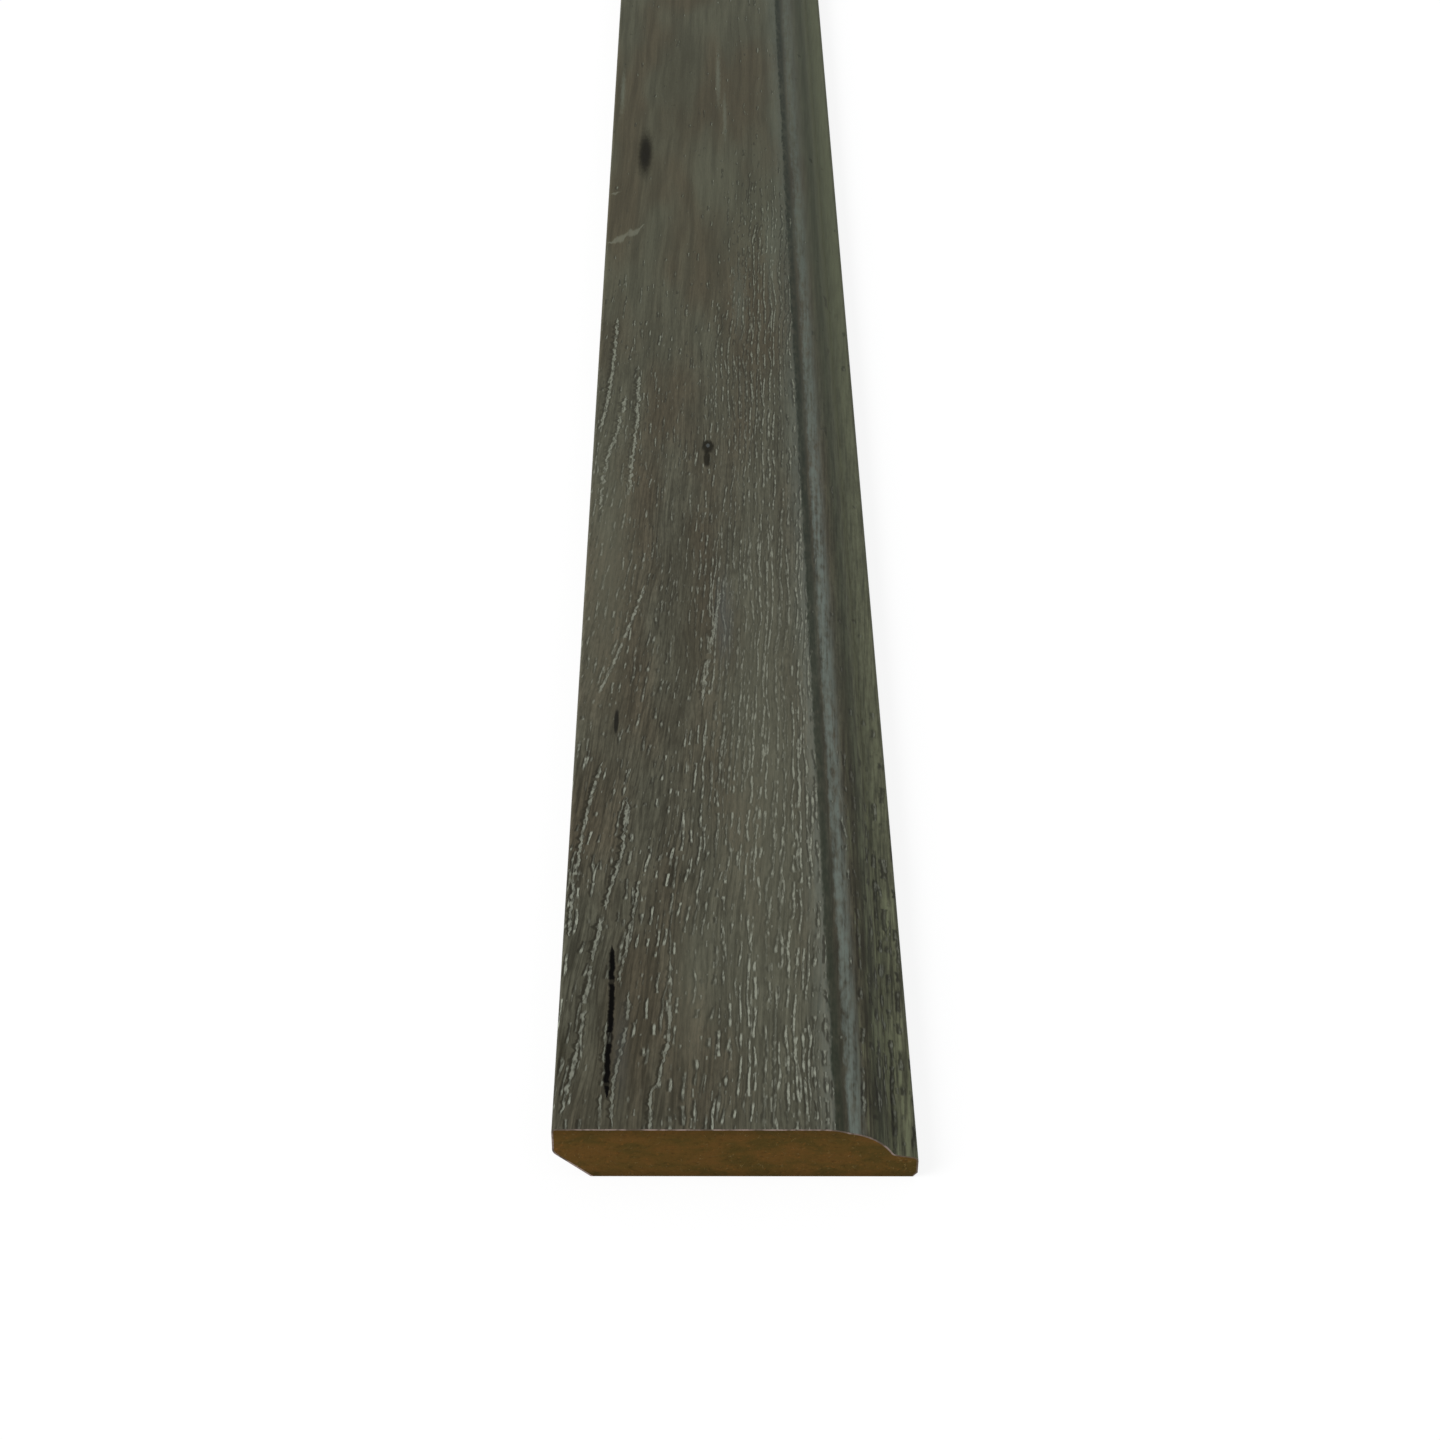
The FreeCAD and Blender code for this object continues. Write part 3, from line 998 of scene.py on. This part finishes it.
@dataclass(frozen=True)
class BoardSection:
    """The wrapped board's section.

    Attributes:
        width: Floor edge to top edge.
        thickness: Back to flat face.
        foil: Thickness of the foil.
        floor_arris: Round between the face and the floor edge.
        chamfer_width: Back chamfer behind the floor edge, along the back.
        chamfer_slope: That chamfer to the back, in degrees.
        chamfer_round: Round between the floor edge and that chamfer.
        moulding: Crease to top edge.
        crease_round: Soft round with which the face rolls off into the crease.
        quirk: Width of the sloping band beside the crease.
        quirk_slope: That band to the face, in degrees.
        ovolo_slope: Start of the ovolo to the face, in degrees.
        ovolo: Radius of the long round.
        cove: Radius of the hollow below it.
        nib_height: Back to the nib's corner, before its round.
        nib_slope: Fall of the nib to the top edge, in degrees.
        nib_round: Round of the nib's corner.
        arris_width: Small chamfer behind the top edge, along the back.
        arris_slope: That chamfer to the back, in degrees.
    """

    width: float
    thickness: float
    foil: float = 0.4 * MM
    floor_arris: float = 1.0 * MM
    chamfer_width: float = 8.2 * MM
    chamfer_slope: float = 43.0
    chamfer_round: float = 2.2 * MM
    moulding: float = 18.0 * MM
    crease_round: float = 15.0 * MM
    quirk: float = 2.8 * MM
    quirk_slope: float = 22.0
    ovolo_slope: float = 7.0
    ovolo: float = 12.6 * MM
    cove: float = 1.3 * MM
    nib_height: float = 6.0 * MM
    nib_slope: float = 11.0
    nib_round: float = 1.4 * MM
    arris_width: float = 1.0 * MM
    arris_slope: float = 52.0

    def crease(self, inset: float = 0.0) -> Vector:
        """Returns the corner between the flat face and the quirk, before its round."""
        slip = inset * math.tan(math.radians(self.quirk_slope) / 2)
        return Vector((self.width / 2 - self.moulding - slip, self.thickness - inset))

    def towards_top(self, inset: float, below: float) -> list[Stretch]:
        """Follows the outline from the flat face's crease side to the back at the top edge.

        Args:
            inset: How far inside the finished surface to stay.
            below: How far past the plane of the back to go on.

        Returns:
            The stretches in order. The first ends where the crease's round starts.
        """
        half = self.width / 2
        fall, upright = heading(-self.quirk_slope), Vector((0, 1))
        nib, out_of_nib = heading(-self.nib_slope), heading(90 - self.nib_slope)
        arris = heading(self.arris_slope)
        foot = self.crease() + fall * (self.quirk / fall.x)
        ovolo = foot - heading(90 - self.ovolo_slope) * self.ovolo
        nib_edge = Vector((half, self.nib_height))
        cove = meet_circle(nib_edge + out_of_nib * self.cove, -nib, ovolo, self.ovolo + self.cove)
        start = meet_circle(self.crease(inset), fall, ovolo, self.ovolo - inset)
        turn = ovolo + (cove - ovolo).normalized() * (self.ovolo - inset)
        nib_start = cove - out_of_nib * (self.cove + inset)
        side = Vector((half - inset, 0.0))
        corner = meet_line(nib_edge - out_of_nib * inset, nib, side, upright)
        arris_foot = Vector((half - self.arris_width - inset / arris.y, 0.0))
        arris_top = meet_line(arris_foot, arris, side, upright)
        first, last, middle = rounded(nib_start, corner, arris_top, self.nib_round - inset)
        face = Vector((0.0, self.thickness - inset))
        level, falling, swell = rounded(face, self.crease(inset), start, self.crease_round - inset)
        return [
            Stretch(level),
            Stretch(falling, swell),
            Stretch(start),
            Stretch(turn, ovolo),
            Stretch(nib_start, cove),
            Stretch(first),
            Stretch(last, middle),
            Stretch(arris_top),
            Stretch(arris_foot - arris * (below / arris.y)),
        ]

    def towards_floor(self, inset: float, below: float) -> list[Stretch]:
        """Follows the outline from the flat face's floor side to the back at the chamfer.

        Args:
            inset: How far inside the finished surface to stay.
            below: How far past the plane of the back to go on.

        Returns:
            The stretches in order. The first ends where the face's own round starts.
        """
        side = Vector((-self.width / 2 + inset, 0.0))
        top = Vector((side.x, self.thickness - inset))
        fall = heading(-self.chamfer_slope)
        foot = Vector((-self.width / 2 + self.chamfer_width - inset / fall.y, 0.0))
        knee = meet_line(foot, fall, side, Vector((0, 1)))
        first, last, middle = rounded(self.crease(inset), top, knee, self.floor_arris - inset)
        upper, lower, centre = rounded(top, knee, foot, self.chamfer_round - inset)
        return [
            Stretch(first),
            Stretch(last, middle),
            Stretch(upper),
            Stretch(lower, centre),
            Stretch(foot + fall * (below / -fall.y)),
        ]


def heading(degrees: float) -> Vector:
    """Returns the unit vector at an angle above the +X direction."""
    return Vector((math.cos(math.radians(degrees)), math.sin(math.radians(degrees))))


def cross(a: Vector, b: Vector) -> float:
    """Returns the cross product of two plane vectors."""
    return a.x * b.y - a.y * b.x


def meet_line(a: Vector, along_a: Vector, b: Vector, along_b: Vector) -> Vector:
    """Returns where two lines meet, each given by a point and a direction."""
    return a + along_a * (cross(b - a, along_b) / cross(along_a, along_b))


def meet_circle(start: Vector, along: Vector, centre: Vector, radius: float) -> Vector:
    """Finds where a line first meets a circle, from outside it or from within.

    Args:
        start: The line's start.
        along: Its direction, one unit long.
        centre: The circle's centre.
        radius: Its radius.

    Returns:
        The meeting point.
    """
    gap = start - centre
    reach = gap.dot(along)
    root = math.sqrt(reach**2 - gap.dot(gap) + radius**2)
    return start + along * (-reach - root if root < -reach else root - reach)


def rounded(before: Vector, corner: Vector, after: Vector, radius: float) -> tuple[Vector, Vector, Vector]:
    """Rounds a corner.

    Args:
        before: A point on the side that comes first.
        corner: The corner.
        after: A point on the other side.
        radius: The round's radius.

    Returns:
        The arc's start, end and centre.
    """
    one, two = (before - corner).normalized(), (after - corner).normalized()
    half = one.angle(two) / 2
    reach = radius / math.tan(half)
    centre = corner + (one + two).normalized() * (radius / math.sin(half))
    return corner + one * reach, corner + two * reach, centre


def pick_edges(piece: bpy.types.Object, axis: int, place: float) -> None:
    """Goes into edit mode with the edges picked that lie in one plane.

    Args:
        piece: The piece.
        axis: 0, 1 or 2 for the axis across the plane.
        place: Where the plane is on that axis.
    """
    bpy.ops.object.mode_set(mode="OBJECT")
    data = piece.data
    for item in (*data.vertices, *data.edges, *data.polygons):
        item.select = False
    for edge in data.edges:
        edge.select = all(abs(data.vertices[v].co[axis] - place) < TOUCH for v in edge.vertices)
    bpy.ops.object.mode_set(mode="EDIT")


def coordinates(data: bpy.types.Mesh) -> np.ndarray:
    """Reads where a mesh's points are.

    Args:
        data: The mesh.

    Returns:
        One row of X, Y and Z for each point.
    """
    places = np.empty(len(data.vertices) * 3)
    data.vertices.foreach_get("co", places)
    return places.reshape(-1, 3)


class Sheet:
    """A surface that is drawn out sideways from a flat strip, like a section along a board."""

    def __init__(self, name: str, left: float, right: float, height: float, length: float) -> None:
        """Lays down the flat strip.

        Args:
            name: The object's name.
            left: The strip's lower X.
            right: Its higher X.
            height: Its Z.
            length: Its length along Y, half each way.
        """
        bpy.ops.object.select_all(action="DESELECT")
        bpy.ops.mesh.primitive_plane_add(size=1.0)
        self.piece = bpy.context.active_object
        self.piece.name = self.piece.data.name = name
        bpy.ops.object.mode_set(mode="EDIT")
        bpy.ops.mesh.select_mode(type="EDGE")
        bpy.ops.mesh.select_all(action="SELECT")
        bpy.ops.transform.resize(value=(right - left, length, 1.0))
        bpy.ops.transform.translate(value=((left + right) / 2, 0.0, height))
        self.trace = [(Vector((left, height)), left), (Vector((right, height)), right)]

    def follow(self, stretches: Sequence[Stretch], way: int, turn: float = math.radians(4.0)) -> None:
        """Draws one side of the sheet out along an outline.

        Args:
            stretches: The outline, from where that side is.
            way: 1 for the sheet's +X side and -1 for the other.
            turn: The most that one facet of an arc turns.
        """
        at, run = max(self.trace, key=lambda mark: way * mark[1])
        pick_edges(self.piece, 0, at.x)
        for stretch in stretches:
            if stretch.centre is None:
                move = stretch.end - at
                bpy.ops.mesh.extrude_region_move(TRANSFORM_OT_translate={"value": (move.x, 0.0, move.y)})
                run += way * move.length
                self.trace.append((stretch.end, run))
            else:
                start, end = at - stretch.centre, stretch.end - stretch.centre
                angle = math.atan2(cross(start, end), start.dot(end))
                steps = max(3, math.ceil(abs(angle) / turn))
                bpy.ops.mesh.spin(
                    steps=steps,
                    angle=angle,
                    center=(stretch.centre.x, 0.0, stretch.centre.y),
                    axis=(0.0, 1.0, 0.0),
                )
                arc = way * abs(angle) * start.length
                for share in (step / steps for step in range(1, steps + 1)):
                    spoke = Matrix.Rotation(angle * share, 2) @ start
                    self.trace.append((stretch.centre + spoke, run + arc * share))
                run += arc
            at = stretch.end

    def cut(self, place: Sequence[float], facing: Sequence[float], keep_above: bool = False) -> None:
        """Cuts the whole sheet by a plane.

        Args:
            place: A point on the plane.
            facing: The plane's normal.
            keep_above: Whether to drop what lies behind it and close the cut.
        """
        bpy.ops.mesh.select_all(action="SELECT")
        bpy.ops.mesh.bisect(plane_co=place, plane_no=facing, use_fill=keep_above, clear_inner=keep_above)

    def beside(self, points: np.ndarray) -> tuple[np.ndarray, np.ndarray]:
        """Finds where points lie along the outline that was drawn.

        Args:
            points: One row of X, Y and Z for each point.

        Returns:
            The run of the outline beside each point, which is X on the flat face, and the gap to it.
        """
        trace = sorted(self.trace, key=lambda mark: mark[1])
        corners = np.array([place[:] for place, _ in trace])
        runs = np.array([run for _, run in trace])
        start, way = corners[:-1], np.diff(corners, axis=0)
        flat = points[:, None, (0, 2)]
        share = np.clip(((flat - start) * way).sum(2) / (way**2).sum(1), 0.0, 1.0)
        gap = np.linalg.norm(flat - start - way * share[..., None], axis=2)
        best = gap.argmin(1)
        row = np.arange(len(points))
        return runs[best] + share[row, best] * np.diff(runs)[best], gap[row, best]


class Side(Enum):
    """What a face of a long piece belongs to."""

    OUTSIDE = "outside"
    INSIDE = "inside"
    NEAR_END = "near end"
    FAR_END = "far end"
    BACK = "back"


def side_of(face: bpy.types.MeshPolygon, depth: float) -> Side:
    """Finds what a face belongs to.

    Args:
        face: The face.
        depth: How far it lies below the sheet that was drawn, as a share of the foil's thickness.

    Returns:
        Its side.
    """
    if abs(face.normal.y) > 0.9:
        return Side.NEAR_END if face.normal.y < 0 else Side.FAR_END
    if face.center.z < TOUCH:
        return Side.BACK
    return Side.OUTSIDE if depth < 0.5 else Side.INSIDE


@dataclass(frozen=True)
class Band:
    """A band of the square picture that a piece's colours are baked to.

    Attributes:
        bottom: Its lower rim, 0 to 1.
        tall: Its height.
        rows: How many stretches of the piece it shows above each other.
        gutter: What stays free round each row.
    """

    bottom: float
    tall: float
    rows: int = 1
    gutter: float = 0.003

    def place(self, along: np.ndarray, across: np.ndarray, row: int) -> np.ndarray:
        """Places points of one face.

        Args:
            along: Their places along the row, 0 to 1.
            across: Their places up the row, 0 to 1.
            row: The row, from 0.

        Returns:
            One row of U and V for each point.
        """
        tall = self.tall / self.rows
        up = self.bottom + row * tall + self.gutter + across * (tall - 2 * self.gutter)
        return np.stack((self.gutter + along * (1 - 2 * self.gutter), up), axis=1)


FOIL_BANDS = {
    Side.OUTSIDE: Band(0.0, 0.84, rows=4),
    Side.INSIDE: Band(0.84, 0.07),
    Side.NEAR_END: Band(0.91, 0.03),
    Side.FAR_END: Band(0.94, 0.03),
    Side.BACK: Band(0.97, 0.03),
}
CORE_BANDS = {
    Side.BACK: Band(0.0, 0.48, rows=4),
    Side.OUTSIDE: Band(0.48, 0.1),
    Side.NEAR_END: Band(0.58, 0.2),
    Side.FAR_END: Band(0.79, 0.2),
}


@dataclass
class SkirtingBoard:
    """A length of moulded skirting board: its MDF core and the foil that wraps it.

    Attributes:
        length: Its length, half each side of Y = 0.
        section: Its section.
        foil_finish: The foil's face and back.
        edge_finish: The foil's cut edge.
        core_finish: The core.
        stretches: How many stretches the length is cut into, for its bake picture.
    """

    length: float
    section: BoardSection
    foil_finish: LimedOakFoil = LimedOakFoil()
    edge_finish: FoilEdge = FoilEdge()
    core_finish: Mdf = Mdf()
    stretches: int = 4

    def draw(self, name: str, inset: float, below: float) -> Sheet:
        """Draws one skin of the board, from the back at the top edge round to the back at the chamfer.

        Args:
            name: The piece's name.
            inset: How far inside the finished surface it lies.
            below: How far it runs on past the plane of the back.

        Returns:
            The open skin.
        """
        flank, crest = self.section.towards_floor(inset, below), self.section.towards_top(inset, below)
        left, right = flank[0].end, crest[0].end
        sheet = Sheet(name, left.x, right.x, right.y, self.length)
        sheet.follow(crest[1:], 1)
        sheet.follow(flank[1:], -1)
        for place in range(1, self.stretches):
            y = self.length * (place / self.stretches - 0.5)
            sheet.cut((0.0, y, 0.0), (0.0, 1.0, 0.0))
        bpy.ops.object.mode_set(mode="OBJECT")
        return sheet

    def build_foil(self) -> bpy.types.Object:
        """Builds the foil, with its cut edges and the places its pattern follows.

        Returns:
            The finished piece.
        """
        foil = self.section.foil
        sheet = self.draw("foil_wrap", 0.0, 5 * foil)
        piece = sheet.piece
        wall = piece.modifiers.new("thickness", "SOLIDIFY")
        wall.thickness, wall.offset, wall.use_even_offset = foil, -1.0, True
        bpy.ops.object.modifier_apply(modifier=wall.name)
        bpy.ops.object.mode_set(mode="EDIT")
        sheet.cut((0.0, 0.0, 0.0), (0.0, 0.0, 1.0), keep_above=True)
        self.finish(sheet, FOIL_BANDS)
        points = coordinates(piece.data)
        runs, _ = sheet.beside(points)
        wrap = np.stack((runs, points[:, 1] + self.length / 2, np.zeros(len(runs))), axis=1) / MM
        places = piece.data.attributes.new(WRAP, "FLOAT_VECTOR", "POINT")
        places.data.foreach_set("vector", wrap.ravel())
        piece.data.materials.append(self.foil_finish.material(self.section.crease().x / MM))
        piece.data.materials.append(self.edge_finish.material())
        for face in piece.data.polygons:
            face.material_index = int(side_of(face, 0.0) is not Side.OUTSIDE)
        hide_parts("decor_foil")
        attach(piece, BODY)
        return piece

    def build_core(self) -> bpy.types.Object:
        """Builds the core inside the foil.

        Returns:
            The finished piece.
        """
        sheet = self.draw("mdf_board", self.section.foil, 0.0)
        piece = sheet.piece
        pick_edges(piece, 2, 0.0)
        bpy.ops.mesh.bridge_edge_loops()
        for end in (-0.5, 0.5):
            pick_edges(piece, 1, end * self.length)
            bpy.ops.mesh.edge_face_add()
        self.finish(sheet, CORE_BANDS)
        piece.data.materials.append(self.core_finish.material())
        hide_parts("mdf_core")
        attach(piece, BODY)
        return piece

    def finish(self, sheet: Sheet, bands: dict[Side, Band]) -> None:
        """Turns a closed piece's faces outward, smooths its rounds and lays out its bake map.

        Args:
            sheet: The sheet that the piece was made from, in edit mode.
            bands: Where each side of the piece goes in the map.
        """
        bpy.ops.mesh.select_all(action="SELECT")
        bpy.ops.mesh.remove_doubles(threshold=TOUCH)
        bpy.ops.mesh.normals_make_consistent(inside=False)
        bpy.ops.object.mode_set(mode="OBJECT")
        bpy.ops.object.shade_smooth_by_angle(angle=math.radians(10))
        data = sheet.piece.data
        corners_in_map = data.uv_layers.new(name=BAKE_MAP).data
        points = coordinates(data)
        runs, depth = sheet.beside(points)
        depth = depth / self.section.foil
        run_share = (runs - runs.min()) / np.ptp(runs)
        x_share, y_share, z_share = ((points - points.min(0)) / np.ptp(points, axis=0)).T
        for face in data.polygons:
            corners = list(face.vertices)
            side = side_of(face, depth[corners].mean())
            band = bands[side]
            row = min(int((face.center.y / self.length + 0.5) * band.rows), band.rows - 1)
            along, across = y_share[corners] * band.rows - row, run_share[corners]
            if side in (Side.NEAR_END, Side.FAR_END):
                core_end = len(corners) > 4
                along = x_share[corners] if core_end else run_share[corners]
                across = z_share[corners] if core_end else depth[corners]
            elif side is Side.BACK:
                across = x_share[corners]
                if band.rows == 1:
                    own = points[corners, 0]
                    across = 0.45 * (own - own.min()) / np.ptp(own) + 0.55 * (own.mean() > 0)
            for loop, place in zip(face.loop_indices, band.place(along, np.clip(across, 0.0, 1.0), row)):
                corners_in_map[loop].uv = place


@dataclass(frozen=True)
class Lamp:
    """A wide, soft and distant lamp.

    Attributes:
        towards: Direction from the board to the lamp.
        strength: Its strength.
        width: How wide it looks from the board, in degrees.
        colour: Its colour.
    """

    towards: tuple[float, float, float]
    strength: float
    width: float
    colour: Colour = (1.0, 1.0, 1.0)

    def add(self) -> None:
        """Adds the lamp to the scene."""
        bpy.ops.object.light_add(type="SUN", location=(0.0, 0.0, 2.0))
        lamp = bpy.context.active_object
        lamp.rotation_mode = "QUATERNION"
        lamp.rotation_quaternion = Vector(self.towards).to_track_quat("Z", "Y")
        lamp.data.energy = self.strength
        lamp.data.angle = math.radians(self.width)
        lamp.data.color = self.colour


@dataclass(frozen=True)
class Studio:
    """White floor, soft light and the camera of the photograph.

    Attributes:
        lamps: The lamps.
        sky: Strength of the even light from all round.
        floor_size: Width and length of the floor.
        floor_gap: How far it lies below the board.
        floor_tone: Its own brightness.
        glow: How bright the camera sees its white.
        glow_share: How far that covers its own brightness, where the board's shadow shows.
        lens: The camera's lens in mm.
        sensor: The width of its picture in mm.
        place: Where the camera stands.
        turn: Its view's turn from +Y towards +X, in degrees.
        tilt: Its view's fall below the horizon, in degrees.
        roll: Its lean, in degrees.
    """

    lamps: tuple[Lamp, ...] = (
        Lamp((-0.8, -0.25, 0.62), 2.6, 40.0),
        Lamp((0.308, 0.788, 0.533), 0.25, 14.0, (0.8, 0.92, 1.0)),
    )
    sky: float = 0.42
    floor_size: float = 40.0
    floor_gap: float = 0.2 * MM
    floor_tone: float = 0.8
    glow: float = 1.08
    glow_share: float = 0.8
    lens: float = 65.0
    sensor: float = 36.0
    place: tuple[float, float, float] = (-0.008348, -1.586040, 0.432727)
    turn: float = 0.60509
    tilt: float = 38.30830
    roll: float = 0.50040

    def build(self) -> None:
        """Adds the floor, the lamps, the world and the camera."""
        self.lay_floor()
        for lamp in self.lamps:
            lamp.add()
        self.light_world()
        self.set_camera()
        bpy.context.scene.view_settings.view_transform = "Standard"

    def lay_floor(self) -> None:
        """Lays the floor just under the board."""
        bpy.ops.object.select_all(action="DESELECT")
        bpy.ops.mesh.primitive_plane_add(size=self.floor_size, location=(0.0, 0.0, -self.floor_gap))
        floor = bpy.context.active_object
        floor.name = "floor"
        made, g, shader = new_material("white floor")
        g.fill(shader, Base_Color=[self.floor_tone] * 3, Roughness=0.9)
        seen = g.node("LightPath").outputs["Is Camera Ray"]
        glow = g.fill(g.node("Emission"), Strength=self.glow)[0]
        both = g.node("MixShader", g.times(seen, self.glow_share), shader.outputs[0], glow)
        g.fill(made.node_tree.nodes["Material Output"], Surface=both.outputs[0])
        floor.data.materials.append(made)

    def light_world(self) -> None:
        """Gives even light from all round, and white where the camera looks past the floor."""
        world = bpy.data.worlds.new("studio")
        bpy.context.scene.world = world
        world.use_nodes = True
        g = Graph(world.node_tree)
        seen = g.node("LightPath").outputs["Is Camera Ray"]
        strength = g.add(self.sky, g.times(seen, 1.0 - self.sky))
        g.fill(world.node_tree.nodes["Background"], Color=(1.0, 1.0, 1.0), Strength=strength)

    def set_camera(self) -> None:
        """Sets the camera up where the photograph was taken from."""
        turn, tilt, roll = (math.radians(a) for a in (self.turn, self.tilt, self.roll))
        ahead = Vector((math.sin(turn) * math.cos(tilt), math.cos(turn) * math.cos(tilt), -math.sin(tilt)))
        level = Vector((math.cos(turn), -math.sin(turn), 0.0))
        raised = level.cross(ahead)
        right = level * math.cos(roll) + raised * math.sin(roll)
        up = raised * math.cos(roll) - level * math.sin(roll)
        bpy.ops.object.camera_add(location=self.place)
        camera = bpy.context.active_object
        camera.rotation_euler = Matrix((right, up, -ahead)).transposed().to_euler()
        camera.data.lens, camera.data.sensor_width = self.lens, self.sensor
        bpy.context.scene.camera = camera


def main() -> None:
    """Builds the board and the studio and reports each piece."""
    logging.basicConfig(level=logging.INFO, format="%(message)s")
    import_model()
    low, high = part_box("decor_foil")
    board = SkirtingBoard(high.y - low.y, BoardSection(high.x - low.x, high.z - low.z))
    for piece in (board.build_core(), board.build_foil()):
        LOG.info("%s: %d faces", piece.name, len(piece.data.polygons))
    Studio().build()


if __name__ == "__main__":
    main()
